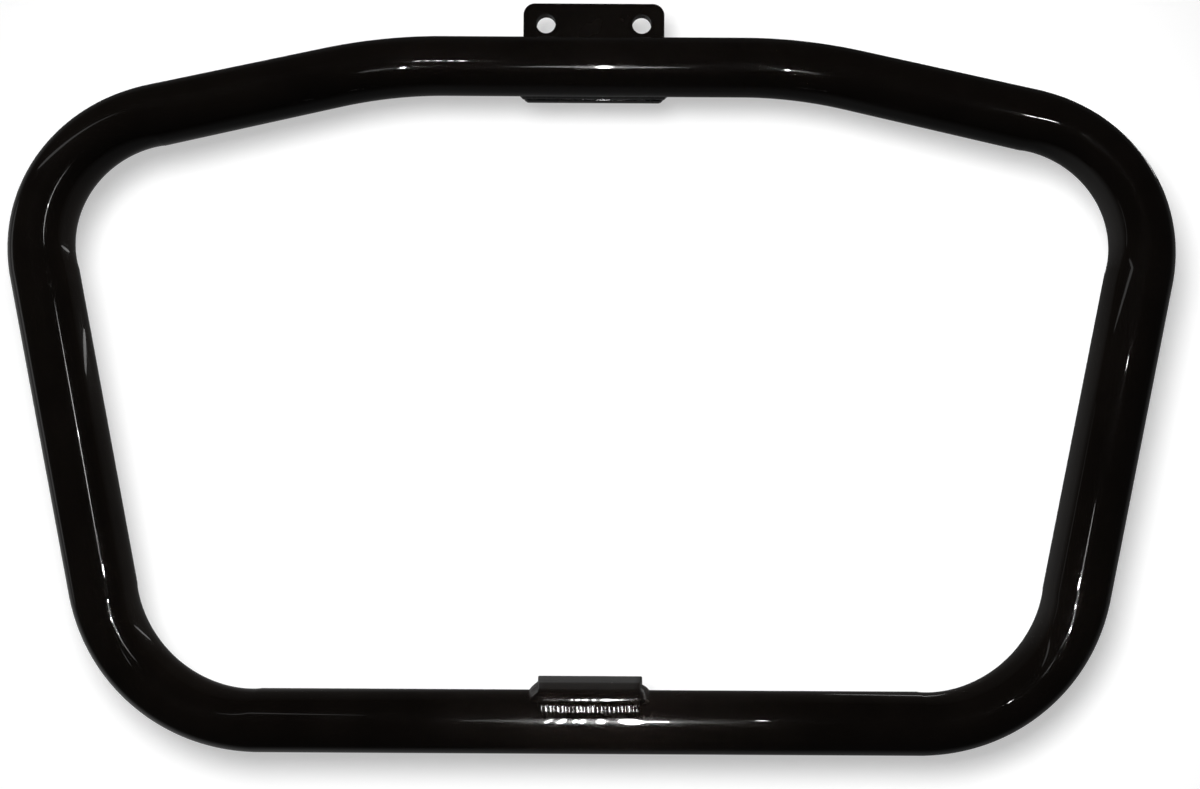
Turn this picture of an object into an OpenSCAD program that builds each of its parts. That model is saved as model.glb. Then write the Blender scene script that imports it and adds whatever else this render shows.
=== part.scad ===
// Motorcycle crash bars: a closed loop of bent round tube with two welded mounting plates.
// Millimetres. X runs from side to side, +Y points back to the motorcycle and +Z is up.
// The origin is the middle of the two bolt holes, on the plate's back face.

/* [Tube] */
// Outside diameter of the round tube
tube_d = 38.1; // [32:0.1:42]
// Wall of the tube
tube_wall = 2.4; // [1.6:0.1:4]

/* [Loop] */
// Height from the bottom tube's centre line to the top tube's
loop_h = 428; // [380:1:480]
// Half the length of the top straight, to the corner of its bend
top_half = 139; // [120:1:160]
// Half the width at the shoulders, to the corner of the bend
shoulder_half = 360; // [330:1:400]
// Fall from the top tube to the shoulder corner
shoulder_drop = 66; // [50:1:85]
// Half the width at the feet, to the corner of the bend
foot_half = 291; // [265:1:310]
// How far the top straight sits behind the rest of the loop
set_back = 42; // [20:1:60]

/* [Bends] */
// Centre-line radius of the two shallow bends beside the top straight
top_bend_r = 220; // [120:5:260]
// Centre-line radius of the two shoulder bends
shoulder_bend_r = 90; // [75:1:110]
// Centre-line radius of the two foot bends
foot_bend_r = 100; // [75:1:115]
// How much thinner the tube is in its bends
bend_thinning = 0.2; // [0.1:0.05:0.6]

/* [Upper plate] */
// Width of the upper plate
plate_w = 98.5; // [92:0.5:110]
// Thickness of the upper plate
plate_t = 6.35; // [4:0.05:8]
// Radius of the upper plate's top corners
plate_corner_r = 8; // [3:0.5:12]
// Radius of the upper plate's bottom corners
plate_foot_r = 4; // [1:0.5:6]
// Distance between the two bolt holes
hole_spacing = 67; // [55:0.5:70]
// Diameter of the bolt holes
hole_d = 13.5; // [9:0.1:14]
// Height of the bolt holes above the top tube's centre line
hole_rise = 37.2; // [32:0.1:45]
// Plate above the centres of the bolt holes
hole_margin = 14.3; // [11:0.1:18]
// Plate below the top tube's centre line
plate_tail = 16.4; // [15:0.1:19]

/* [Lower saddle] */
// Length of the saddle along the bottom tube
saddle_w = 63.5; // [50:0.5:80]
// Thickness of the saddle's plate
saddle_t = 4.8; // [3:0.1:6]
// How far the front lip's face stands before the bottom tube's centre line
lip_reach = 16; // [14:0.1:17]
// Outside radius of the bend above the front lip
lip_bend_r = 6.8; // [6.2:0.1:7]
// Diameter of the motorcycle's cross tube that the saddle hooks over
cross_d = 28.6; // [22:0.1:30]
// Distance of the cross tube behind the bottom tube
cross_back = 40; // [38:0.5:48]
// Fall of the cross tube's centre line below the bottom tube's
cross_drop = 3.8; // [1:0.1:6]
// How far the hook goes on round the cross tube, below its centre line
hook_angle = 41; // [30:1:44]

/* [Welds] */
// Reach of the plate welds from the line where plate and tube touch
plate_weld_reach = 15; // [10:0.5:15]
// Overrun of the plate welds past each end of the plate
plate_weld_wrap = 3; // [0:0.5:6]
// Radius of one ripple in the saddle's front weld
ripple_r = 3.2; // [3:0.1:3.4]
// Distance from ripple to ripple
ripple_pitch = 2.5; // [2.4:0.1:3.6]
// Number of ripples in the front weld
ripple_count = 25; // [9:2:25]
// Width of the two end welds along the tube
end_weld_leg = 5.7; // [3:0.1:8]
// Height of the left end weld, up the saddle's side
left_weld_h = 9; // [4:0.1:10]
// Height of the right end weld, up the saddle's side
right_weld_h = 4.3; // [3:0.1:9]
// Width of the weld under the saddle's slope
rear_weld_leg = 5.5; // [3:0.1:8]

/* [Hidden] */
$fn = 128;

paint = [0.03, 0.03, 0.035];
weld_paint = [0.09, 0.09, 0.1];
// Cutting bodies reach this far past what they cut
past = 1;
// How far a straight runs on over the end of a bend
bend_lap = 1;
// A weld starts where the groove beside the line of contact is this far open
weld_root = 5;
// Centre of a front ripple behind the lip's face and below the lip's end, in ripple radii
ripple_back = 0.69;
ripple_drop = 0.75;
// Angle round the bottom tube, up from level back, at which the end welds stop
end_weld_stop = 50;

tube_r = tube_d / 2;
bore_d = tube_d - 2 * tube_wall;

// The top tube touches the plate's front face, and the loop's plane lies before it
top_y = -plate_t - tube_r;
top_z = -hole_rise;
loop_y = top_y - set_back;
foot_z = top_z - loop_h;

// Corners of the centre line on the +X side, from the middle of the top to the middle of the bottom
corners = [
    [0, top_y, top_z],
    [top_half, top_y, top_z],
    [shoulder_half, loop_y, top_z - shoulder_drop],
    [foot_half, loop_y, foot_z],
    [0, loop_y, foot_z]
];
bend_r = [0, top_bend_r, shoulder_bend_r, foot_bend_r, 0];
last = len(corners) - 1;

function unit(v) = v / norm(v);
function heading(i) = unit(corners[i + 1] - corners[i]);
function turn(i) = (i == 0 || i == last) ? 0 : acos(heading(i - 1) * heading(i));
// Length from a corner to where its bend starts or ends
function tangent_len(i) = bend_r[i] * tan(turn(i) / 2);
function run_start(i) = corners[i] + heading(i) * tangent_len(i);
function run_end(i) = corners[i + 1] - heading(i) * tangent_len(i + 1);
function mirrored(p) = [-p[0], p[1], p[2]];
// Rigid move that takes the X, Y and Z axes to x, y and z at the point p
function pose(x, y, z, p) = [
    [x[0], y[0], z[0], p[0]],
    [x[1], y[1], z[1], p[1]],
    [x[2], y[2], z[2], p[2]],
    [0, 0, 0, 1]
];

// Straight round bar of diameter d from p to q, run on a little at both ends into the bends
module straight(p, q, d) {
    z = unit(q - p);
    x = unit(cross([0, 1, 0], z));
    multmatrix(pose(x, cross(z, x), z, p - z * bend_lap))
        cylinder(h = norm(q - p) + 2 * bend_lap, d = d);
}

// Round bar through the bend at corner i, drawn thinner by the bending than the straight bar of diameter d
module bend(i, d) {
    along = heading(i - 1);
    inward = unit(heading(i) - along * (heading(i) * along));
    multmatrix(pose(-inward, along, cross(-inward, along), run_end(i - 1) + inward * bend_r[i]))
        rotate_extrude(angle = turn(i))
            translate([bend_r[i], 0])
                circle(d = d - bend_thinning);
}

// The whole loop, bent from round bar of diameter d
module bent_bar(d) {
    straight(mirrored(run_end(0)), run_end(0), d);
    straight(mirrored(run_start(last - 1)), run_start(last - 1), d);
    for (side = [0, 1])
        mirror([side, 0, 0]) {
            for (i = [1 : last - 2])
                straight(run_start(i), run_end(i), d);
            for (i = [1 : last - 1])
                bend(i, d);
        }
}

module guard_loop() {
    color(paint)
        difference() {
            bent_bar(tube_d);
            bent_bar(bore_d);
        }
}

// Round bar along X at the point [y, z], used to cut seats
module bar_along_x(y, z, r, w) {
    translate([-w / 2, y, z])
        rotate([0, 90, 0])
            cylinder(h = w, r = r);
}

// Outline of the upper plate, with its origin between the bolt holes
module plate_outline() {
    plate_bottom = -hole_rise - plate_tail;
    top_x = plate_w / 2 - plate_corner_r;
    foot_x = plate_w / 2 - plate_foot_r;
    translate([-plate_w / 2, plate_bottom + plate_foot_r])
        square([plate_w, hole_margin - plate_corner_r - plate_bottom - plate_foot_r]);
    translate([-top_x, 0])
        square([2 * top_x, hole_margin]);
    translate([-foot_x, plate_bottom])
        square([2 * foot_x, -plate_bottom]);
    for (side = [-1, 1]) {
        translate([side * top_x, hole_margin - plate_corner_r])
            circle(r = plate_corner_r);
        translate([side * foot_x, plate_bottom + plate_foot_r])
            circle(r = plate_foot_r);
    }
}

module upper_plate() {
    color(paint)
        rotate([90, 0, 0])
            linear_extrude(plate_t)
                difference() {
                    plate_outline();
                    for (side = [-1, 1])
                        translate([side * hole_spacing / 2, 0])
                            circle(d = hole_d);
                }
}

// Keeps its child as it is (up = 1) or turns it upside down (up = -1)
module turned(up) {
    if (up > 0)
        children();
    else
        mirror([0, 0, 1]) children();
}

// Weld in the groove between the plate's front face and the top tube, above (up = 1) or below (up = -1).
// Its ends slope in from the tube to the plate.
module plate_weld(up) {
    half = plate_w / 2 + plate_weld_wrap;
    groove_angle = 2 * asin(plate_weld_reach / tube_d);
    color(weld_paint)
        translate([0, -plate_t, top_z])
            turned(up)
                difference() {
                    intersection() {
                        rotate([90, 0, 90])
                            rotate(90)
                                translate([0, 0, -half])
                                    rotate_extrude(angle = groove_angle)
                                        translate([weld_root, 0])
                                            square([plate_weld_reach - weld_root, 2 * half]);
                        rotate([90, 0, 0])
                            linear_extrude(tube_r)
                                polygon([[-half, 0], [half, 0], [half, weld_root],
                                    [half - plate_weld_reach + weld_root, plate_weld_reach],
                                    [-half + plate_weld_reach - weld_root, plate_weld_reach],
                                    [-half, weld_root]]);
                    }
                    bar_along_x(-tube_r, 0, tube_r, 2 * half + 2 * past);
                }
}

module plate_weld_over() {
    plate_weld(1);
}

module plate_weld_under() {
    plate_weld(-1);
}

// The saddle's section is drawn with u back and w up from the bottom tube's centre line
cross_r = cross_d / 2;
cross_at = [cross_back, -cross_drop];
// Slope of the plate that rests on both tubes, below level
slope = asin((tube_r - cross_r) / norm(cross_at)) + atan(cross_drop / cross_back);
slope_len = sqrt(pow(norm(cross_at), 2) - pow(tube_r - cross_r, 2));
face_r = tube_r + saddle_t;
arch_r = cross_r + saddle_t;
lip_bend_at = [lip_bend_r - lip_reach, face_r - lip_bend_r];
// The lip ends where its inner corner meets the tube
lip_end = sqrt(pow(tube_r, 2) - pow(lip_reach - saddle_t, 2));

// Turns a section drawn in u and w, with its width along Z, into place on the bottom tube
module on_bottom_tube() {
    multmatrix(pose([0, 1, 0], [0, 0, 1], [1, 0, 0], [0, loop_y, foot_z]))
        children();
}

// Front of the saddle's section: the lip, its bend and the flat over the tube
module lip_section() {
    translate([-lip_reach, lip_end])
        square([lip_reach, lip_bend_at[1] - lip_end]);
    translate([lip_bend_at[0], lip_end])
        square([-lip_bend_at[0], face_r - lip_end]);
    intersection() {
        translate(lip_bend_at)
            circle(r = lip_bend_r);
        translate([-lip_reach - past, lip_end])
            square([lip_reach + past, face_r]);
    }
}

// Back of the saddle's section: round the tube's top, down the slope and over the cross tube.
// It is drawn with the slope level.
module slope_section() {
    intersection() {
        circle(r = face_r);
        rotate(slope)
            translate([lip_bend_at[0] / 2, 0])
                square([face_r, face_r + past]);
    }
    square([slope_len, face_r]);
    translate([slope_len, tube_r - cross_r])
        circle(r = arch_r);
}

// What the back of the section leaves open: the room between the tubes, and below the hook's end
module slope_opening() {
    translate([weld_root, tube_r - 3 * arch_r])
        square([slope_len - weld_root, 3 * arch_r]);
    translate([slope_len, tube_r - cross_r]) {
        circle(r = cross_r);
        rotate(slope - hook_angle)
            translate([-arch_r - past, -2 * arch_r])
                square([3 * arch_r, 2 * arch_r]);
    }
}

module lower_saddle() {
    color(paint)
        on_bottom_tube()
            linear_extrude(saddle_w, center = true)
                difference() {
                    union() {
                        lip_section();
                        rotate(-slope)
                            difference() {
                                slope_section();
                                slope_opening();
                            }
                    }
                    circle(r = tube_r);
                }
}

// A row of round ripples in the corner under the front lip, cut to the tube and the lip
module saddle_weld_front() {
    bead_at = [ripple_back * ripple_r - lip_reach, lip_end - ripple_drop * ripple_r];
    row = ripple_pitch * (ripple_count - 1);
    color(weld_paint)
        on_bottom_tube()
            difference() {
                intersection() {
                    for (k = [0 : ripple_count - 1])
                        translate([bead_at[0], bead_at[1], k * ripple_pitch - row / 2])
                            sphere(r = ripple_r);
                    translate([-2 * tube_r, 0, -saddle_w])
                        cube([2 * tube_r, lip_end, 2 * saddle_w]);
                }
                translate([0, 0, -saddle_w])
                    cylinder(h = 2 * saddle_w, r = tube_r);
            }
}

// Weld in the groove between the bottom tube and the saddle's slope
module saddle_weld_rear() {
    color(weld_paint)
        on_bottom_tube()
            rotate(-slope)
                difference() {
                    translate([weld_root, 0, -saddle_w / 2])
                        cube([rear_weld_leg, tube_r, saddle_w]);
                    translate([0, 0, -saddle_w])
                        cylinder(h = 2 * saddle_w, r = tube_r);
                }
}

// Room under the saddle's outer face, which an end weld can't rise above
module under_saddle_face(w) {
    intersection() {
        translate([-lip_reach, 0, 0])
            cube([3 * tube_r, face_r, w]);
        rotate(-slope)
            translate([-3 * tube_r, 0, 0])
                cube([6 * tube_r, face_r, w]);
    }
}

// Fillet weld round the tube against one end of the saddle, from the lip back over the top
module saddle_end_weld(h) {
    front = 180 - asin(lip_end / tube_r);
    on_bottom_tube()
        translate([0, 0, saddle_w / 2])
            intersection() {
                rotate(end_weld_stop)
                    rotate_extrude(angle = front - end_weld_stop)
                        polygon([[tube_r, 0], [tube_r + h, 0], [tube_r, end_weld_leg]]);
                under_saddle_face(end_weld_leg);
            }
}

module saddle_weld_left() {
    color(weld_paint)
        mirror([1, 0, 0]) saddle_end_weld(left_weld_h);
}

module saddle_weld_right() {
    color(weld_paint)
        saddle_end_weld(right_weld_h);
}

guard_loop();
upper_plate();
plate_weld_over();
plate_weld_under();
lower_saddle();
saddle_weld_front();
saddle_weld_rear();
saddle_weld_left();
saddle_weld_right();
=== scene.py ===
# Motorcycle crash bars: a loop of bent round tube with two welded plates, all in gloss black paint.
# Metres. X runs from side to side, +Y points back to the motorcycle and +Z is up.

import math
import random

import bpy
from mathutils import Matrix, Vector, noise


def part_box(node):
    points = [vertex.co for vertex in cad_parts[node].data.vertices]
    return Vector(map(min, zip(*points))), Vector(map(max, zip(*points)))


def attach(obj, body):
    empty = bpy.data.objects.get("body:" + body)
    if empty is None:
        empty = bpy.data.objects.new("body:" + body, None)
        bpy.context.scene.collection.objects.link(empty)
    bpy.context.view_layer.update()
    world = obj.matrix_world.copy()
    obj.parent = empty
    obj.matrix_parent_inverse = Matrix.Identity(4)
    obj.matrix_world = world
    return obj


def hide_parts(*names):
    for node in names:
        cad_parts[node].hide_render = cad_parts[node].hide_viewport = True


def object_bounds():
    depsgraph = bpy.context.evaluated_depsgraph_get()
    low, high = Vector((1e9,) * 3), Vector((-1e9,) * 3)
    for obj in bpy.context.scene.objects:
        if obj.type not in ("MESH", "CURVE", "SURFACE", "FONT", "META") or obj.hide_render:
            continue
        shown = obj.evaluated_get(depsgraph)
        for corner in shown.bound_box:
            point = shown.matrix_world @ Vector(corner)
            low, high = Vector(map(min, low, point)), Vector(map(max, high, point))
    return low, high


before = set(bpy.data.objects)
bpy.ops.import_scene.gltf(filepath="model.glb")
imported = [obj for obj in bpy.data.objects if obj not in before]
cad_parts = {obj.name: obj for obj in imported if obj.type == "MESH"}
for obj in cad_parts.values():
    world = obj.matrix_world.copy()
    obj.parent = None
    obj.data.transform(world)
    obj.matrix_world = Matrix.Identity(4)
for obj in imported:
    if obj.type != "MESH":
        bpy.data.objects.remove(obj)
cad_low, cad_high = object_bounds()

MM = 0.001
X_AXIS = Vector((1, 0, 0))
Y_AXIS = Vector((0, 1, 0))
Z_AXIS = Vector((0, 0, 1))

# Tube: round stock, and the corners and bends of the loop's centre line on the +X side
TUBE_R = 19.05 * MM
TOP_HALF = 139 * MM
SHOULDER_HALF = 360 * MM
SHOULDER_DROP = 66 * MM
FOOT_HALF = 291 * MM
TOP_BEND_R = 220 * MM
SHOULDER_BEND_R = 90 * MM
FOOT_BEND_R = 100 * MM
RING_POINTS = 96
RINGS_PER_DEGREE = 0.9
FEWEST_RINGS = 12

loop_low, loop_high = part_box("guard_loop")
TOP_Z = loop_high.z - TUBE_R
TOP_Y = loop_high.y - TUBE_R
FOOT_Z = loop_low.z + TUBE_R
LOOP_Y = loop_low.y + TUBE_R

# How far a tight bend squeezes the tube towards and away from its turning centre, how far it lets it
# swell to the sides, and how softly that starts at the bend's ends
TIGHT_BEND_R = 150 * MM
INNER_SQUEEZE = 0.13
OUTER_SQUEEZE = 0.05
SIDE_SWELL = 0.03
SQUEEZE_EASE = 0.7

# Steps of the rounded rims of both plates
RIM_STEPS = 4

# Upper plate
plate_low, plate_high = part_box("upper_plate")
PLATE_W = plate_high.x - plate_low.x
PLATE_T = plate_high.y - plate_low.y
PLATE_TOP_R = 8 * MM
PLATE_FOOT_R = 4 * MM
PLATE_CORNER_STEPS = 14
PLATE_RIM_R = 0.7 * MM
HOLE_SPACING = 67 * MM
HOLE_R = 6.75 * MM
HOLE_POINTS = 64

# Lower saddle: a plate bent over the bottom tube and hooked over the motorcycle's cross tube
saddle_low, saddle_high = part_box("lower_saddle")
SADDLE_W = saddle_high.x - saddle_low.x
SADDLE_LIP_W = 62.5 * MM
SADDLE_BACK_W = 70 * MM
SADDLE_T = 4.8 * MM
SADDLE_RIM_R = 0.8 * MM
SADDLE_COLUMNS = 16
LIP_REACH = 16 * MM
LIP_BEND_R = 6.8 * MM
CROSS_R = 14.3 * MM
CROSS_BACK = 40 * MM
CROSS_DROP = 3.8 * MM
HOOK_ANGLE = math.radians(41)
# The lip's middle stands this far before its ends, as the bright line along it shows
LIP_BOW = 1.2 * MM

# The saddle's outer face over the tube, the height of its lip's end, and its widening per length
SADDLE_FACE_R = TUBE_R + SADDLE_T
LIP_END = math.sqrt(TUBE_R ** 2 - (LIP_REACH - SADDLE_T) ** 2)
SADDLE_FLARE = (SADDLE_BACK_W - SADDLE_LIP_W) / (CROSS_BACK + LIP_REACH)

# Between the tubes the saddle lies on both of them: its fall, its length there and its way down
CROSS_APART = math.hypot(CROSS_BACK, CROSS_DROP)
SLOPE_FALL = math.asin((TUBE_R - CROSS_R) / CROSS_APART) + math.atan2(CROSS_DROP, CROSS_BACK)
SLOPE_LENGTH = math.sqrt(CROSS_APART ** 2 - (TUBE_R - CROSS_R) ** 2)
DOWN_SLOPE = Vector((0, math.cos(SLOPE_FALL), -math.sin(SLOPE_FALL)))


def deselect_all():
    bpy.ops.object.select_all(action="DESELECT")


def pick(piece):
    """Selects one piece and nothing else."""
    deselect_all()
    bpy.context.view_layer.objects.active = piece
    piece.select_set(True)


def start_editing(piece):
    pick(piece)
    bpy.ops.object.mode_set(mode="EDIT")


def stop_editing():
    bpy.ops.object.mode_set(mode="OBJECT")


def select_nothing_of(piece, kind):
    """Deselects a piece's whole mesh, ready for its vertices, edges or faces to be selected in code."""
    start_editing(piece)
    bpy.ops.mesh.select_mode(type=kind)
    bpy.ops.mesh.select_all(action="DESELECT")
    stop_editing()


def settle(piece):
    """Puts the piece's place into its mesh, so that its object sits at the origin."""
    pick(piece)
    bpy.ops.object.transform_apply(location=True, rotation=True, scale=True)


def apply_modifier(piece, kind, **settings):
    deselect_all()
    bpy.context.view_layer.objects.active = piece
    modifier = piece.modifiers.new(kind.title(), kind)
    for name, value in settings.items():
        setattr(modifier, name, value)
    bpy.ops.object.modifier_apply(modifier=modifier.name)


def face_outwards(piece):
    start_editing(piece)
    bpy.ops.mesh.select_all(action="SELECT")
    bpy.ops.mesh.normals_make_consistent(inside=False)
    stop_editing()


def smooth_by_angle(piece, degrees):
    pick(piece)
    bpy.ops.object.shade_smooth_by_angle(angle=math.radians(degrees))


def finish_piece(piece, name, material, slot, *nodes):
    """Names a finished piece, gives it its paint and lets it stand for its CAD nodes."""
    piece.name = name
    piece.data.name = name
    piece.data.materials.clear()
    piece.data.materials.append(material)
    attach(piece, "root")
    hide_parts(*nodes)
    return piece


# Paint

# What shows in all the paint: its slow waviness, its haze and its dust nibs, each nib reaching over a
# share of their spacing
SAG_SIZE = 14 * MM
HAZE_SIZE = 30 * MM
NIB_SPACING = 9 * MM
NIB_REACH = 0.035
NIB_HEIGHT = 0.03 * MM
GLASSY_IOR = 1.5
COAT_ROUGHNESS = 0.035


def add_node(owner, kind, settings=None, **inputs):
    """Adds a shader node to a material or the world.

    Settings are the node's own properties, and inputs are values or other nodes' outputs."""
    node = owner.node_tree.nodes.new(kind)
    for name, value in (settings or {}).items():
        setattr(node, name, value)
    for name, value in inputs.items():
        socket = node.inputs[name.replace("_", " ")]
        if isinstance(value, bpy.types.NodeSocket):
            owner.node_tree.links.new(value, socket)
        else:
            socket.default_value = value
    return node


def new_material(name):
    material = bpy.data.materials.new(name)
    material.use_nodes = True
    material.node_tree.nodes.clear()
    return material


def map_range(owner, value, from_low, from_high, to_low, to_high):
    node = add_node(owner, "ShaderNodeMapRange")
    owner.node_tree.links.new(value, node.inputs["Value"])
    for name, number in (("From Min", from_low), ("From Max", from_high),
                         ("To Min", to_low), ("To Max", to_high)):
        node.inputs[name].default_value = number
    return node.outputs["Result"]


def gloss_paint(name, colour, pale_colour, roughness, shine, peel_size, peel_height, sag_height):
    """Gloss paint: a hazy base under a sharp clear layer, with orange peel, waviness and dust nibs."""
    material = new_material(name)
    links = material.node_tree.links
    place = add_node(material, "ShaderNodeTexCoord").outputs["Object"]
    peel = add_node(material, "ShaderNodeTexNoise", Vector=place, Scale=1 / peel_size, Detail=2.0)
    sag = add_node(material, "ShaderNodeTexNoise", Vector=place, Scale=1 / SAG_SIZE, Detail=1.0)
    haze = add_node(material, "ShaderNodeTexNoise", Vector=place, Scale=1 / HAZE_SIZE, Detail=4.0)
    nib = add_node(material, "ShaderNodeTexVoronoi", Vector=place, Scale=1 / NIB_SPACING)
    nib_height = map_range(material, nib.outputs["Distance"], 0.0, NIB_REACH, 1.0, 0.0)
    sag_bump = add_node(material, "ShaderNodeBump", Height=sag.outputs["Fac"], Distance=sag_height)
    nib_bump = add_node(material, "ShaderNodeBump", Height=nib_height, Distance=NIB_HEIGHT,
                        Normal=sag_bump.outputs["Normal"])
    peel_bump = add_node(material, "ShaderNodeBump", Height=peel.outputs["Fac"], Distance=peel_height,
                         Normal=nib_bump.outputs["Normal"])
    # A colour mix takes its share at socket 0 and its colours at 6 and 7, and gives them out at 2
    tone = add_node(material, "ShaderNodeMix", {"data_type": "RGBA"})
    tone.inputs[6].default_value = (*colour, 1)
    tone.inputs[7].default_value = (*pale_colour, 1)
    uneven = map_range(material, haze.outputs["Fac"], 0.3, 0.7, 0.0, 1.0)
    links.new(uneven, tone.inputs[0])
    shader = add_node(material, "ShaderNodeBsdfPrincipled",
                      Base_Color=tone.outputs[2],
                      Roughness=map_range(material, uneven, 0.0, 1.0, *roughness),
                      Normal=peel_bump.outputs["Normal"],
                      Coat_Normal=peel_bump.outputs["Normal"])
    for socket, value in (("IOR", GLASSY_IOR), ("Specular IOR Level", shine), ("Coat Weight", 1.0),
                          ("Coat Roughness", COAT_ROUGHNESS), ("Coat IOR", GLASSY_IOR)):
        shader.inputs[socket].default_value = value
    add_node(material, "ShaderNodeOutputMaterial", Surface=shader.outputs["BSDF"])
    return material


tube_paint = gloss_paint("tube_paint",
                         colour=(0.0039, 0.0029, 0.0023), pale_colour=(0.0060, 0.0046, 0.0037),
                         roughness=(0.18, 0.28), shine=0.08,
                         peel_size=2.2 * MM, peel_height=0.0025 * MM, sag_height=0.012 * MM)
plate_paint = gloss_paint("plate_paint",
                          colour=(0.0041, 0.0031, 0.0024), pale_colour=(0.0064, 0.0050, 0.0040),
                          roughness=(0.20, 0.30), shine=0.12,
                          peel_size=1.6 * MM, peel_height=0.004 * MM, sag_height=0.012 * MM)
weld_paint = gloss_paint("weld_paint",
                         colour=(0.0043, 0.0033, 0.0026), pale_colour=(0.0070, 0.0056, 0.0045),
                         roughness=(0.20, 0.30), shine=0.3,
                         peel_size=0.9 * MM, peel_height=0.008 * MM, sag_height=0.02 * MM)


# Loop of bent tube


def loop_corners():
    """Corners of the centre line from the top's middle to the bottom's middle, each with its bend."""
    return [
        (Vector((0, TOP_Y, TOP_Z)), 0),
        (Vector((TOP_HALF, TOP_Y, TOP_Z)), TOP_BEND_R),
        (Vector((SHOULDER_HALF, LOOP_Y, TOP_Z - SHOULDER_DROP)), SHOULDER_BEND_R),
        (Vector((FOOT_HALF, LOOP_Y, FOOT_Z)), FOOT_BEND_R),
        (Vector((0, LOOP_Y, FOOT_Z)), 0),
    ]


def loop_bends():
    """For each bend its entry, turning centre, turning axis and angle."""
    corners = loop_corners()
    bends = []
    for (before, _), (corner, radius), (after, _) in zip(corners, corners[1:], corners[2:]):
        into = (corner - before).normalized()
        out = (after - corner).normalized()
        angle = into.angle(out)
        inward = (out - into * into.dot(out)).normalized()
        entry = corner - into * radius * math.tan(angle / 2)
        bends.append((entry, entry + inward * radius, into.cross(out).normalized(), angle))
    return bends


def flatten_bend(tube, entry, centre, axis, angle):
    """Squeezes the tube's round section in a tight bend, as bending without a mandrel does."""
    inward = (centre - entry).normalized()
    into = -axis.cross(inward)
    radius = (centre - entry).length
    just_past_tube = 1.01 * TUBE_R
    for vertex in tube.data.vertices:
        arm = vertex.co - centre
        across = arm.dot(axis)
        turned = math.atan2(arm.dot(into), -arm.dot(inward))
        if not 0 < turned < angle or abs(across) > just_past_tube:
            continue
        outward = into * math.sin(turned) - inward * math.cos(turned)
        beyond = arm.dot(outward) - radius
        if abs(beyond) > just_past_tube:
            continue
        share = math.sin(math.pi * turned / angle) ** SQUEEZE_EASE
        squeeze = OUTER_SQUEEZE if beyond > 0 else INNER_SQUEEZE
        vertex.co -= outward * beyond * squeeze * share
        vertex.co += axis * across * SIDE_SWELL * share


def make_loop():
    """Sweeps a ring along half of the centre line, then mirrors it into the closed loop."""
    deselect_all()
    corners = loop_corners()
    start = corners[0][0]
    bpy.ops.mesh.primitive_circle_add(vertices=RING_POINTS, radius=TUBE_R, location=start,
                                      rotation=(0, math.pi / 2, 0))
    tube = bpy.context.object
    settle(tube)
    start_editing(tube)
    bpy.ops.mesh.select_all(action="SELECT")
    at = start
    for entry, centre, axis, angle in loop_bends():
        bpy.ops.mesh.extrude_region_move(TRANSFORM_OT_translate={"value": entry - at})
        rings = max(FEWEST_RINGS, round(math.degrees(angle) * RINGS_PER_DEGREE))
        bpy.ops.mesh.spin(steps=rings, angle=-angle, center=centre, axis=axis)
        at = centre + Matrix.Rotation(angle, 3, axis) @ (entry - centre)
    bpy.ops.mesh.extrude_region_move(TRANSFORM_OT_translate={"value": corners[-1][0] - at})
    stop_editing()
    for entry, centre, axis, angle in loop_bends():
        if (centre - entry).length < TIGHT_BEND_R:
            flatten_bend(tube, entry, centre, axis, angle)
    apply_modifier(tube, "MIRROR", use_axis=(True, False, False), merge_threshold=0.01 * MM)
    face_outwards(tube)
    smooth_by_angle(tube, degrees=60)
    return finish_piece(tube, "loop_tube", tube_paint, "tube_paint", "guard_loop")


# Upper plate


def drill(piece, x, y, z, radius, depth):
    """Drills a round hole along Y."""
    deselect_all()
    bpy.ops.mesh.primitive_cylinder_add(vertices=HOLE_POINTS, radius=radius, depth=depth,
                                        location=(x, y, z), rotation=(math.pi / 2, 0, 0))
    drill_bit = bpy.context.object
    apply_modifier(piece, "BOOLEAN", operation="DIFFERENCE", solver="EXACT", object=drill_bit)
    bpy.data.objects.remove(drill_bit)


def round_corners(piece, height, radius):
    """Rounds the plate's two corners whose edges along Y lie at this height."""
    select_nothing_of(piece, "EDGE")
    for edge in piece.data.edges:
        a, b = (piece.data.vertices[i].co for i in edge.vertices)
        level = max(abs(a.z - height), abs(b.z - height)) < 0.01 * MM
        edge.select = level and abs(a.y - b.y) > PLATE_T / 2
    start_editing(piece)
    bpy.ops.mesh.bevel(offset=radius, offset_type="OFFSET", segments=PLATE_CORNER_STEPS, affect="EDGES")
    stop_editing()


def round_rims(piece, radius, steps):
    """Builds the rounded rims of the plate's front and back faces, a step at a time."""
    select_nothing_of(piece, "FACE")
    for polygon in piece.data.polygons:
        polygon.select = abs(polygon.normal.y) > 0.9
    start_editing(piece)
    for k in range(steps):
        low, high = (math.pi / 2 * j / steps for j in (k, k + 1))
        bpy.ops.mesh.inset(thickness=radius * (math.cos(low) - math.cos(high)),
                           depth=radius * (math.sin(high) - math.sin(low)), use_even_offset=True)
    stop_editing()


def make_upper_plate():
    deselect_all()
    middle = (plate_low + plate_high) / 2
    blank = plate_high - plate_low
    blank.y -= 2 * PLATE_RIM_R
    bpy.ops.mesh.primitive_cube_add(size=1, location=middle, scale=blank)
    plate = bpy.context.object
    settle(plate)
    round_corners(plate, plate_high.z, PLATE_TOP_R)
    round_corners(plate, plate_low.z, PLATE_FOOT_R)
    round_rims(plate, PLATE_RIM_R, RIM_STEPS)
    for side in (-1, 1):
        drill(plate, side * HOLE_SPACING / 2, middle.y, 0, HOLE_R, 3 * PLATE_T)
    face_outwards(plate)
    smooth_by_angle(plate, degrees=30)
    return finish_piece(plate, "bolt_plate", plate_paint, "plate_paint", "upper_plate")


# Lower saddle


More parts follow.
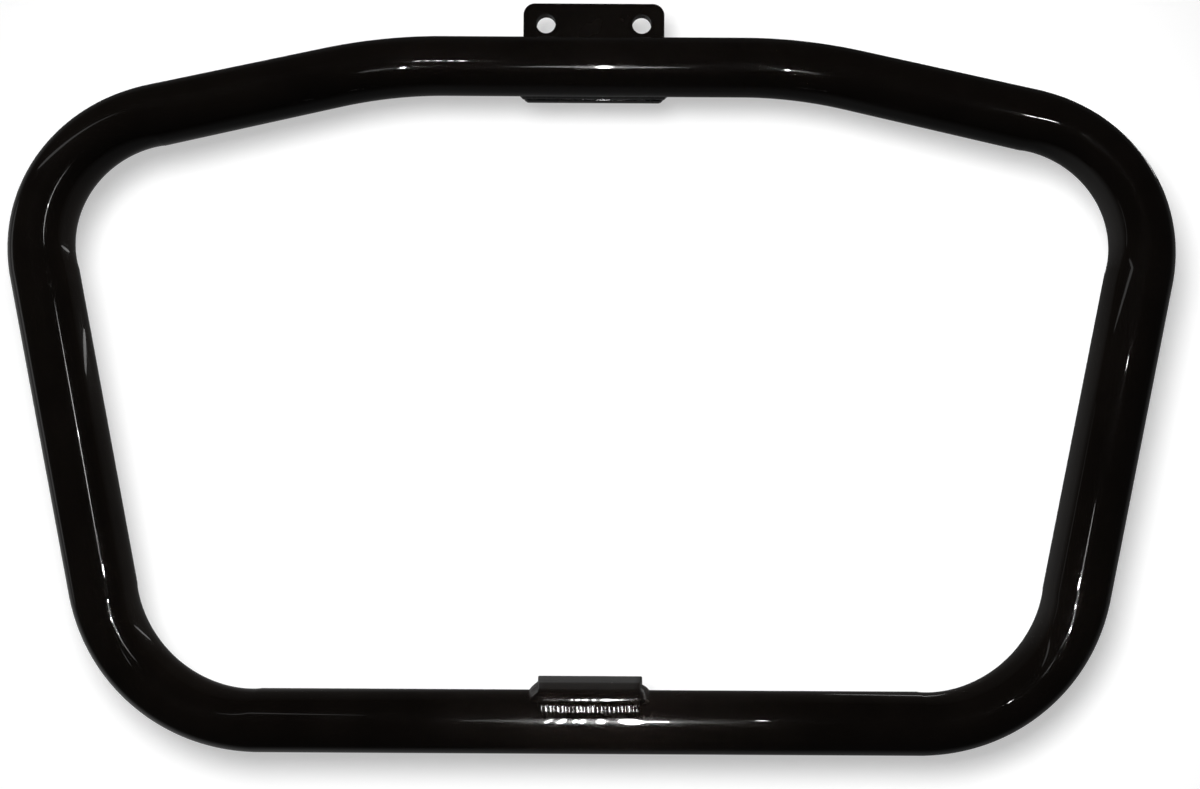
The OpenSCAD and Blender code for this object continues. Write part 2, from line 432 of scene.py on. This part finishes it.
def saddle_point(u, w):
    """A point of the saddle's section, u back and w up from the bottom tube's centre line."""
    return Vector((0, LOOP_Y + u, FOOT_Z + w))


def lip_bow(x):
    """How far the lip stands forward at a place across it, falling to nothing at its ends."""
    return LIP_BOW * max(0, 1 - (2 * x / SADDLE_LIP_W) ** 2)


def make_lip_edge():
    """Starts the saddle as one row of vertices along its lip's end, kept of a tall upright grid.

    It is left in edit mode with the row selected."""
    deselect_all()
    grid_size = 1
    bpy.ops.mesh.primitive_grid_add(x_subdivisions=SADDLE_COLUMNS, y_subdivisions=1, size=grid_size,
                                    location=saddle_point(-LIP_REACH, LIP_END + grid_size / 2),
                                    rotation=(math.pi / 2, 0, 0))
    sheet = bpy.context.object
    sheet.scale.x = SADDLE_W
    settle(sheet)
    top = max(vertex.co.z for vertex in sheet.data.vertices)
    select_nothing_of(sheet, "VERT")
    for vertex in sheet.data.vertices:
        vertex.select = vertex.co.z > top - 1 * MM
    start_editing(sheet)
    bpy.ops.mesh.delete(type="VERT")
    bpy.ops.mesh.select_all(action="SELECT")
    return sheet


def make_lower_saddle():
    """Draws the plate's outer face from the lip's end to the hook's end, then gives it its thickness."""
    sheet = make_lip_edge()
    lip_bend = saddle_point(LIP_BEND_R - LIP_REACH, SADDLE_FACE_R - LIP_BEND_R)
    tube_centre = saddle_point(0, 0)
    cross_centre = saddle_point(CROSS_BACK, -CROSS_DROP)

    def run(value):
        bpy.ops.mesh.extrude_region_move(TRANSFORM_OT_translate={"value": value})

    def turn(centre, angle, steps):
        bpy.ops.mesh.spin(steps=steps, angle=angle, center=centre, axis=X_AXIS)

    run(Z_AXIS * (lip_bend.z - FOOT_Z - LIP_END))
    turn(lip_bend, math.pi / 2, steps=12)
    run(Y_AXIS * (tube_centre.y - lip_bend.y))
    turn(tube_centre, SLOPE_FALL, steps=4)
    run(DOWN_SLOPE * SLOPE_LENGTH)
    turn(cross_centre, math.pi / 2 - SLOPE_FALL + HOOK_ANGLE, steps=28)
    stop_editing()
    for vertex in sheet.data.vertices:
        width = SADDLE_LIP_W + SADDLE_FLARE * (vertex.co.y - LOOP_Y + LIP_REACH)
        vertex.co.x *= width / SADDLE_W
        before = (LOOP_Y - vertex.co.y) / (LIP_REACH - SADDLE_T)
        vertex.co.y -= lip_bow(vertex.co.x) * max(0, min(1, before))
    apply_modifier(sheet, "SOLIDIFY", thickness=SADDLE_T, offset=-1, use_even_offset=True)
    face_outwards(sheet)
    apply_modifier(sheet, "BEVEL", width=SADDLE_RIM_R, segments=RIM_STEPS, limit_method="ANGLE",
                   angle_limit=math.radians(60), harden_normals=True)
    smooth_by_angle(sheet, degrees=35)
    return finish_piece(sheet, "saddle_plate", plate_paint, "plate_paint", "lower_saddle")


# Weld beads

# A bead's section: its points all round, and the share of them on its open face
SECTION_POINTS = 30
FACE_SHARE = 0.7
MERGE_REACH = 0.002 * MM
# Fine grain of the bead's face: its size, and its height as a share of the ripples' height
GRAIN_SIZE = 1.3 * MM
GRAIN_SHARE = 0.08
# How softly ripples fade to the toes of a plain bead, and how soon they rise from the toe of a crested one
RIPPLE_EASE = 0.6
RIPPLE_ONSET = 10
# How softly a bead swells from its two ends
END_EASE = 0.6


def weld_bead(name, stations, section_points, place, crease, node):
    """A bead rolled from a flat grid. place gives its surface for a share along it and a share round it."""
    deselect_all()
    bpy.ops.mesh.primitive_grid_add(x_subdivisions=stations, y_subdivisions=section_points, size=2)
    bead = bpy.context.object
    for vertex in bead.data.vertices:
        vertex.co = place((vertex.co.x + 1) / 2, (vertex.co.y + 1) / 2)
    start_editing(bead)
    bpy.ops.mesh.select_all(action="SELECT")
    bpy.ops.mesh.remove_doubles(threshold=MERGE_REACH)
    bpy.ops.mesh.fill_holes(sides=0)
    stop_editing()
    face_outwards(bead)
    smooth_by_angle(bead, crease)
    return finish_piece(bead, name, weld_paint, "weld_paint", node)


class Ripples:
    """The ridges that the welder left along a bead, each with its own height, width and lean."""

    # Ranges of a ridge's pitch, height, lean and slant, all as shares
    PITCHES = (0.75, 1.25)
    HEIGHTS = (0.35, 1.0)
    LEANS = (-0.25, 0.25)
    SLANTS = (-0.5, 0.5)
    # What is taken off the bow's sine to centre it, and the share across where slant changes nothing
    BOW_CENTRE = 0.6
    SLANT_CENTRE = 0.4

    def __init__(self, length, pitch, height, seed, crested):
        draw = random.Random(seed)
        self.height = height
        # A crested bead's ridges bow less along it and are narrower
        self.bow = 0.4 if crested else 0.8
        share = 0.55 if crested else 0.62
        self.ridges = []
        at = -pitch
        while at < length + pitch:
            step = pitch * draw.uniform(*self.PITCHES)
            self.ridges.append((at + step / 2, step * share, draw.uniform(*self.HEIGHTS),
                                draw.uniform(*self.LEANS), draw.uniform(*self.SLANTS)))
            at += step

    def rise(self, along, across):
        """Height of the surface at a distance along the bead and a share across it, from 0 to 1."""
        best = 0
        for centre, width, size, lean, slant in self.ridges:
            bow = self.bow * width * (math.sin(math.pi * across) - self.BOW_CENTRE)
            off = (along - centre - bow - lean * width * (across - 0.5)) / width
            if abs(off) < 1:
                best = max(best, size * (1 - off * off) * (1 + slant * (across - self.SLANT_CENTRE)))
        return self.height * best


def fillet_bead(name, node, length, pitch, ripple_height, bulge, corner, seed, crest=None, bow=0.0):
    """A fillet weld. corner gives its two toes and its root for a share along it.

    A plain bead bulges evenly between its toes. One with a crest rises in a flat face from its first toe
    to the crest, at that share of the way, and curves down from there, with finer ripples.
    The bow is how much more it bulges in the middle of its length."""
    crested = crest is not None
    ripples = Ripples(length, pitch, ripple_height, seed, crested)

    def place(s, a):
        toe_a, toe_b, root = corner(s)
        chord = toe_b - toe_a
        out = ((toe_a + toe_b) / 2 - root)
        out -= chord * out.dot(chord) / chord.length_squared
        out.normalize()
        # The section's last point closes it on its first
        if a >= 0.9999:
            a = 0
        if a < FACE_SHARE:
            t = a / FACE_SHARE
            if crested:
                swell = t / crest if t < crest else 1 - ((t - crest) / (1 - crest)) ** 2
                ripple_share = min(1, RIPPLE_ONSET * t, (1 - t) / (1 - crest))
            else:
                swell = math.sin(math.pi * t)
                ripple_share = swell ** RIPPLE_EASE
            rise = (bulge + bow * 4 * s * (1 - s)) * swell + ripples.rise(s * length, t) * ripple_share
            grain = noise.noise((toe_a + chord * t) / GRAIN_SIZE) * GRAIN_SHARE * ripple_height * swell
            return toe_a + chord * t + out * (rise + grain)
        t = (a - FACE_SHARE) / (1 - FACE_SHARE)
        if t < 0.5:
            return toe_b.lerp(root, 2 * t)
        return root.lerp(toe_a, 2 * t - 1)

    station_gap = (0.15 if crested else 0.3) * MM
    crease = 35 if crested else 70
    return weld_bead(name, round(length / station_gap), SECTION_POINTS, place, crease, node)


def tube_point(angle, radius, x=0.0):
    """A point at an angle above level-back on a circle round the bottom tube's centre line."""
    return saddle_point(radius * math.cos(angle), radius * math.sin(angle)) + X_AXIS * x


def ease_ends(s, share):
    """1 along the middle of a bead, falling to 0 at its two ends."""
    return math.sin(math.pi / 2 * min(1, s / share, (1 - s) / share)) ** END_EASE


def make_front_weld():
    """The rippled bead on the tube along the end of the saddle's lip."""
    half = SADDLE_LIP_W / 2
    root = saddle_point(-LIP_REACH + SADDLE_T, LIP_END)
    foot = saddle_point(-17.1 * MM, 8.0 * MM)
    lap_in, lap_up = 0.2 * MM, 1.2 * MM

    def corner(s):
        x = X_AXIS * (2 * s - 1) * half
        grow = max(0.05, ease_ends(s, 0.035))
        lip = saddle_point(-LIP_REACH + lap_in - lip_bow(x.x), LIP_END + lap_up)
        return root.lerp(lip, grow) + x, root.lerp(foot, grow) + x, root + x

    return fillet_bead("lip_weld", "saddle_weld_front", length=2 * half, pitch=2.5 * MM,
                       ripple_height=0.6 * MM, bulge=0.82 * MM, corner=corner, seed=5,
                       crest=0.52, bow=0.75 * MM)


def face_radius(angle):
    """Distance of the saddle's outer face from the tube's centre line, at an angle above level-back."""
    if angle > math.pi / 2:
        return min(SADDLE_FACE_R / math.sin(angle), LIP_REACH / max(0.01, -math.cos(angle)))
    if angle > math.pi / 2 - SLOPE_FALL:
        return SADDLE_FACE_R
    return SADDLE_FACE_R / math.cos(math.pi / 2 - SLOPE_FALL - angle)


def make_end_weld(name, node, side, leg, height, back_angle, seed):
    """A fillet round the tube against one end of the saddle, from under the lip back over the top."""
    start = math.radians(128)
    stop = math.radians(back_angle)
    root_sink, root_inset = 0.6 * MM, 0.8 * MM
    toe_sink, toe_inset = 0.3 * MM, 0.2 * MM
    below_face = 0.4 * MM

    def corner(s):
        angle = start + (stop - start) * s
        grow = max(0.02, ease_ends(s, 0.06))
        side_at = SADDLE_LIP_W / 2 + SADDLE_FLARE / 2 * (TUBE_R * math.cos(angle) + LIP_REACH)
        top = min(TUBE_R + height, face_radius(angle) - below_face)
        root = tube_point(angle, TUBE_R - root_sink, side * (side_at - root_inset))
        toe_a = tube_point(angle, TUBE_R + (top - TUBE_R) * grow, side * (side_at - toe_inset))
        toe_b = tube_point(angle, TUBE_R - toe_sink, side * (side_at + leg * grow))
        return toe_a, toe_b, root

    return fillet_bead(name, node, length=TUBE_R * (start - stop), pitch=2.8 * MM, ripple_height=0.3 * MM,
                       bulge=0.35 * MM, corner=corner, seed=seed)


def make_rear_weld():
    """A fillet behind the tube, between it and the saddle's slope."""
    half = SADDLE_W / 2
    touch = math.pi / 2 - SLOPE_FALL
    root_turn, toe_turn = math.radians(10), math.radians(33)
    toe_depth = 0.2 * MM
    slope_leg = 10.5 * MM

    def corner(s):
        x = X_AXIS * (2 * s - 1) * half
        grow = max(0.05, ease_ends(s, 0.03))
        root = tube_point(touch - root_turn, TUBE_R) + x
        toe_a = tube_point(touch, TUBE_R + toe_depth) + DOWN_SLOPE * slope_leg * grow + x
        toe_b = tube_point(touch - toe_turn * grow, TUBE_R - toe_depth) + x
        return toe_a, toe_b, root

    return fillet_bead("slope_weld", "saddle_weld_rear", length=2 * half, pitch=2.8 * MM,
                       ripple_height=0.4 * MM, bulge=0.3 * MM, corner=corner, seed=17)


def make_plate_weld(name, node, up, seed):
    """A fillet in the groove between the plate's front face and the top tube, above or below the tube.

    It shrinks towards its two ends, where it runs out past the plate's sides."""
    half = PLATE_W / 2 + 3 * MM
    reach = 15.8 * MM
    end_reach = 12.8 * MM
    groove = 2 * math.asin(reach / (2 * TUBE_R))
    face = plate_low.y
    root_before, root_up = 0.4 * MM, 3 * MM
    toe_depth = 0.3 * MM

    def corner(s):
        end = abs(2 * s - 1) * half
        grow = min(1, (half - end + end_reach) / reach)
        x = X_AXIS * (2 * s - 1) * half
        turned = groove * grow
        root = Vector((0, face - root_before, TOP_Z + up * root_up)) + x
        toe_a = Vector((0, face + toe_depth, TOP_Z + up * reach * grow)) + x
        toe_b = Vector((0, TOP_Y + (TUBE_R - toe_depth) * math.cos(turned),
                        TOP_Z + up * (TUBE_R - toe_depth) * math.sin(turned))) + x
        return toe_a, toe_b, root

    return fillet_bead(name, node, length=2 * half, pitch=3.0 * MM, ripple_height=0.45 * MM,
                       bulge=0.5 * MM, corner=corner, seed=seed)


pieces = [
    make_loop(),
    make_upper_plate(),
    make_lower_saddle(),
    make_front_weld(),
    make_end_weld("end_weld_left", "saddle_weld_left", side=-1, leg=5.7 * MM, height=9.0 * MM,
                  back_angle=42, seed=11),
    make_end_weld("end_weld_right", "saddle_weld_right", side=1, leg=5.7 * MM, height=3.8 * MM,
                  back_angle=50, seed=13),
    make_rear_weld(),
    make_plate_weld("plate_weld_low", "plate_weld_under", up=-1, seed=23),
    make_plate_weld("plate_weld_high", "plate_weld_over", up=1, seed=29),
]


# Studio

CAMERA_AT = Vector((5.7, -635.0, -258.9)) * MM
CAMERA_ROLL = math.radians(-0.32)
LENS_MM = 27
SENSOR_MM = 36
# The paper hangs close behind the loop's foot and leans back, and the floor lies well below the loop
PAPER_Y = 100 * MM
PAPER_LEAN = 0.075
PAPER_W = 6
WALL_H = 4
FLOOR_D = 3
FLOOR_Z = FOOT_Z - 450 * MM
# The lamp that throws the shadow stands this far to the left of the camera and above it
SHADOW_LEFT = 28 * MM
SHADOW_UP = 54 * MM
SHADOW_LAMP_D = 95 * MM
SHADOW_LAMP_BRIGHTNESS = 382
# White added for the camera alone to the wall and to the floor
WALL_LIFT = 0.49
FLOOR_LIFT = 0.8
# The paper's white where the shadow lamp is nearest, and where its light is so many times weaker
NEAR_WHITE = 0.33
FAR_WHITE = 0.85
FAR_FALL = 2.6
# A small lamp's light on flat paper that faces it falls with about this power of the distance
FALL_POWER = 4
# The studio's glow in the paint: how strong it is at the left, at the right and in front, and what share
# of it is left overhead
GLOW_LEFT = 0.16
GLOW_RIGHT = 0.05
GLOW_FRONT = 0.012
OVERHEAD_SHARE = 0.2
# Ranges of a direction's parts over which the glow grows to the back, falls to the right and falls upwards
GLOW_BACK = (0.0, 0.35)
GLOW_ACROSS = (-0.7, -0.05)
GLOW_UP = (0.1, 0.6)


def make_camera():
    deselect_all()
    bpy.ops.object.camera_add(location=CAMERA_AT, rotation=(math.pi / 2, CAMERA_ROLL, 0))
    camera = bpy.context.object
    camera.data.lens = LENS_MM
    camera.data.sensor_width = SENSOR_MM
    camera.data.clip_start = 0.01
    bpy.context.scene.camera = camera


def backdrop_material(name, lamp_at, lift):
    """White paper with the object's shadow. It shows from its front only, so that it hides nothing.

    It is paler away from the lamp that throws the shadow, so that it looks evenly white."""
    material = new_material(name)
    links = material.node_tree.links
    place = add_node(material, "ShaderNodeTexCoord").outputs["Object"]
    reach = add_node(material, "ShaderNodeVectorMath", {"operation": "DISTANCE"})
    links.new(place, reach.inputs[0])
    reach.inputs[1].default_value = lamp_at
    nearest = PAPER_Y - lamp_at[1]
    ratio = add_node(material, "ShaderNodeMath", {"operation": "DIVIDE"})
    links.new(reach.outputs["Value"], ratio.inputs[0])
    ratio.inputs[1].default_value = nearest
    fall = add_node(material, "ShaderNodeMath", {"operation": "POWER"})
    links.new(ratio.outputs["Value"], fall.inputs[0])
    fall.inputs[1].default_value = FALL_POWER
    white = map_range(material, fall.outputs["Value"], 1.0, FAR_FALL, NEAR_WHITE, FAR_WHITE)
    paper = add_node(material, "ShaderNodeBsdfDiffuse")
    links.new(white, paper.inputs["Color"])
    path = add_node(material, "ShaderNodeLightPath")
    glow = add_node(material, "ShaderNodeEmission", Color=(1, 1, 1, 1))
    links.new(map_range(material, path.outputs["Is Camera Ray"], 0, 1, 0, lift), glow.inputs["Strength"])
    lit = add_node(material, "ShaderNodeAddShader")
    clear = add_node(material, "ShaderNodeBsdfTransparent")
    side = add_node(material, "ShaderNodeNewGeometry")
    shown = add_node(material, "ShaderNodeMixShader")
    links.new(paper.outputs["BSDF"], lit.inputs[0])
    links.new(glow.outputs["Emission"], lit.inputs[1])
    links.new(side.outputs["Backfacing"], shown.inputs[0])
    links.new(lit.outputs["Shader"], shown.inputs[1])
    links.new(clear.outputs["BSDF"], shown.inputs[2])
    add_node(material, "ShaderNodeOutputMaterial", Surface=shown.outputs["Shader"])
    return material


def make_backdrop(name, at, turn, width, height, material):
    deselect_all()
    bpy.ops.mesh.primitive_plane_add(size=1, location=at, rotation=turn)
    sheet = bpy.context.object
    sheet.scale = (width, height, 1)
    settle(sheet)
    sheet.name = name
    sheet.data.materials.append(material)
    sheet.visible_glossy = False
    sheet.visible_diffuse = False
    sheet.visible_shadow = False
    return sheet


def make_world():
    """White all round to the eye. The paint shows a pale glow behind the object and near darkness in front.

    The glow is strongest at the left and fades overhead."""
    world = bpy.data.worlds.new("studio_world")
    world.use_nodes = True
    bpy.context.scene.world = world
    world.node_tree.nodes.clear()
    links = world.node_tree.links
    way = add_node(world, "ShaderNodeTexCoord").outputs["Generated"]
    split = add_node(world, "ShaderNodeSeparateXYZ", Vector=way)
    behind = map_range(world, split.outputs["Y"], *GLOW_BACK, 0.0, 1.0)
    across = map_range(world, split.outputs["X"], *GLOW_ACROSS, GLOW_LEFT, GLOW_RIGHT)
    above = map_range(world, split.outputs["Z"], *GLOW_UP, 1.0, OVERHEAD_SHARE)
    pale = add_node(world, "ShaderNodeMath", {"operation": "MULTIPLY"})
    links.new(behind, pale.inputs[0])
    links.new(across, pale.inputs[1])
    glow = add_node(world, "ShaderNodeMath", {"operation": "MULTIPLY_ADD"})
    links.new(pale.outputs["Value"], glow.inputs[0])
    links.new(above, glow.inputs[1])
    glow.inputs[2].default_value = GLOW_FRONT
    path = add_node(world, "ShaderNodeLightPath")
    strength = add_node(world, "ShaderNodeMix", {"data_type": "FLOAT"})
    links.new(path.outputs["Is Camera Ray"], strength.inputs[0])
    links.new(glow.outputs["Value"], strength.inputs[2])
    strength.inputs[3].default_value = 1.0
    sky = add_node(world, "ShaderNodeBackground", Color=(1, 1, 1, 1), Strength=strength.outputs[0])
    add_node(world, "ShaderNodeOutputWorld", Surface=sky.outputs["Background"])


def make_lamp(name, at, aim, width, height, brightness, spread=180, in_paint=True):
    """A flat lamp. Its brightness is that of its face, and its spread the whole angle that it lights."""
    deselect_all()
    bpy.ops.object.light_add(type="AREA", location=at)
    lamp = bpy.context.object
    lamp.name = name
    lamp.data.shape = "ELLIPSE"
    lamp.data.size = width
    lamp.data.size_y = height
    half_spread = math.radians(spread) / 2
    gathered = 1 if spread == 180 else 1 - half_spread / math.tan(half_spread)
    lamp.data.energy = brightness * gathered * math.pi * math.pi / 4 * width * height
    lamp.data.spread = 2 * half_spread
    lamp.rotation_euler = (Vector(aim) - Vector(at)).to_track_quat("-Z", "Y").to_euler()
    lamp.visible_glossy = in_paint
    lamp.visible_camera = False
    return lamp


def light_only(lamp, *things):
    """Lets a lamp light these things alone."""
    group = bpy.data.collections.new(lamp.name + "_lights")
    for thing in things:
        group.objects.link(thing)
    lamp.light_linking.receiver_collection = group


# Where the lamps beside the lens point, at the bottom tube or the top tube, and where three of them stand
FOOT_AIM = Vector((0.01, -0.08, -0.45))
TOP_AIM = Vector((0.005, -0.04, -0.04))
LENS = CAMERA_AT + Vector((3, 0, 3)) * MM

# Soft lamps that light the paint and don't show in it: name, place, width, height and brightness
SOFT_LAMPS = [
    ("fill_lamp", (-0.5, -1.6, 0.5), 1.4, 1.0, 6),
    ("back_fill_left", (-0.9, 1.2, 0.3), 1.5, 1.0, 6),
    ("back_fill_right", (0.9, 1.2, 0.3), 1.5, 1.0, 14),
]

# Small bright spots beside the lens, from the left: how far right of it, how wide and how high, in mm
FLASH_SPOTS = [
    (-60, 3, 160),
    (-44, 7, 200),
    (-28, 3, 140),
    (-19, 5, 180),
    (3, 7, 200),
    (39, 27, 240),
    (64, 32, 24),
    (83, 3, 60),
]
FLASH_BRIGHTNESS = 220

# Lamps of one glint each: name, place, aim, width and height in mm, brightness, and spread in degrees
GLINT_LAMPS = [
    ("low_line", LENS, FOOT_AIM, 340, 10, 14, 40),
    ("top_line", LENS, TOP_AIM, 220, 10, 30, 18),
    ("top_flash", LENS, TOP_AIM, 20, 100, 220, 24),
    ("left_arm_high", (0.098, -0.545, -0.355), (-0.297, -0.083, -0.375), 16, 12, 900, 6),
    ("left_arm_low", (0.052, -0.563, -0.2925), (-0.293, -0.084, -0.398), 16, 12, 900, 6),
    ("right_arm_high", (0.033, -0.622, -0.378), (0.300, -0.085, -0.374), 16, 12, 900, 6),
    ("right_arm_low", (0.084, -0.643, -0.332), (0.295, -0.085, -0.400), 16, 12, 900, 6),
    ("left_arm_line", (0.0, -0.463, -0.21), (-0.31, -0.083, -0.28), 12, 320, 20, 50),
    ("right_arm_line", (0.098, -0.541, -0.36), (0.297, -0.085, -0.387), 10, 140, 16, 30),
    ("top_right_spot", (0.116, -0.769, -0.322), (0.1274, -0.044, -0.046), 10, 50, 600, 5),
    ("top_left_spot", (-0.1415, -0.769, -0.323), (-0.1244, -0.044, -0.045), 10, 50, 600, 5),
]

# A row of three short dashes on the left of the top tube, each lamp wider than the one before
DASH_AT = Vector((-0.222, -0.785, -0.028))
DASH_AIM = (-0.086, -0.044, -0.04)
DASH_STEP = 16 * MM
DASH_W = 6 * MM
DASH_GROWTH = 2 * MM

# A spot high on the right, and long dim lamps that draw the tube's edges from several sides: name, place,
# aim, width, height and brightness
MIDDLE = (cad_low + cad_high) / 2
WIDE_LAMPS = [
    ("high_spot", (0.225, -0.725, -0.145), MIDDLE, 14 * MM, 14 * MM, 120),
    ("front_strip", (-0.77, -0.79, 0.34), MIDDLE, 0.9, 50 * MM, 0.8),
    ("back_strip", (0.82, 0.68, 0.24), MIDDLE, 0.9, 50 * MM, 2.5),
    ("left_strip", (-1.3, -0.08, -0.25), (-0.33, -0.08, -0.25), 0.16, 0.9, 0.32),
]

# The upper plate's welds are dull, so the lamps that show in the paint leave them out
DULL_WELDS = ("plate_weld_low", "plate_weld_high")


def make_paper_studio():
    """The paper behind and below the object, and the lamp that throws the shadow on it."""
    shadow_at = CAMERA_AT + Vector((-SHADOW_LEFT, 0, SHADOW_UP))
    wall_y = PAPER_Y - FOOT_Z * math.tan(PAPER_LEAN)
    wall = make_backdrop("backdrop", (0, wall_y, 0), (math.pi / 2 - PAPER_LEAN, 0, 0), PAPER_W, WALL_H,
                         backdrop_material("white_paper", shadow_at, WALL_LIFT))
    floor = make_backdrop("floor", (0, PAPER_Y - FLOOR_D / 2, FLOOR_Z), (0, 0, 0), PAPER_W, FLOOR_D,
                          backdrop_material("white_floor", shadow_at, FLOOR_LIFT))
    lamp = make_lamp("shadow_lamp", shadow_at, MIDDLE, SHADOW_LAMP_D, SHADOW_LAMP_D, SHADOW_LAMP_BRIGHTNESS,
                     in_paint=False)
    light_only(lamp, wall, floor)


def make_paint_lamps(pieces):
    """The lamps that light the object alone, most of them made for one reflection each."""
    lamps = []
    for name, at, width, height, brightness in SOFT_LAMPS:
        lamps.append(make_lamp(name, at, MIDDLE, width, height, brightness, in_paint=False))
    for k, (right, width, height) in enumerate(FLASH_SPOTS):
        at = CAMERA_AT + Vector((right * MM, 0, 3 * MM))
        lamps.append(make_lamp(f"flash_spot_{k}", at, FOOT_AIM, width * MM, height * MM,
                               FLASH_BRIGHTNESS, spread=24))
    for name, at, aim, width, height, brightness, spread in GLINT_LAMPS:
        lamps.append(make_lamp(name, at, aim, width * MM, height * MM, brightness, spread=spread))
    for k in range(3):
        lamps.append(make_lamp(f"dash_lamp_{k}", DASH_AT + X_AXIS * DASH_STEP * k, DASH_AIM,
                               DASH_W + DASH_GROWTH * k, 20 * MM, 120, spread=9))
    for name, at, aim, width, height, brightness in WIDE_LAMPS:
        lamps.append(make_lamp(name, at, aim, width, height, brightness))
    for lamp in lamps:
        left_out = DULL_WELDS if lamp.visible_glossy else ()
        light_only(lamp, *(piece for piece in pieces if piece.name not in left_out))


make_camera()
make_world()
make_paper_studio()
make_paint_lamps(pieces)

scene = bpy.context.scene
scene.view_settings.view_transform = "Standard"
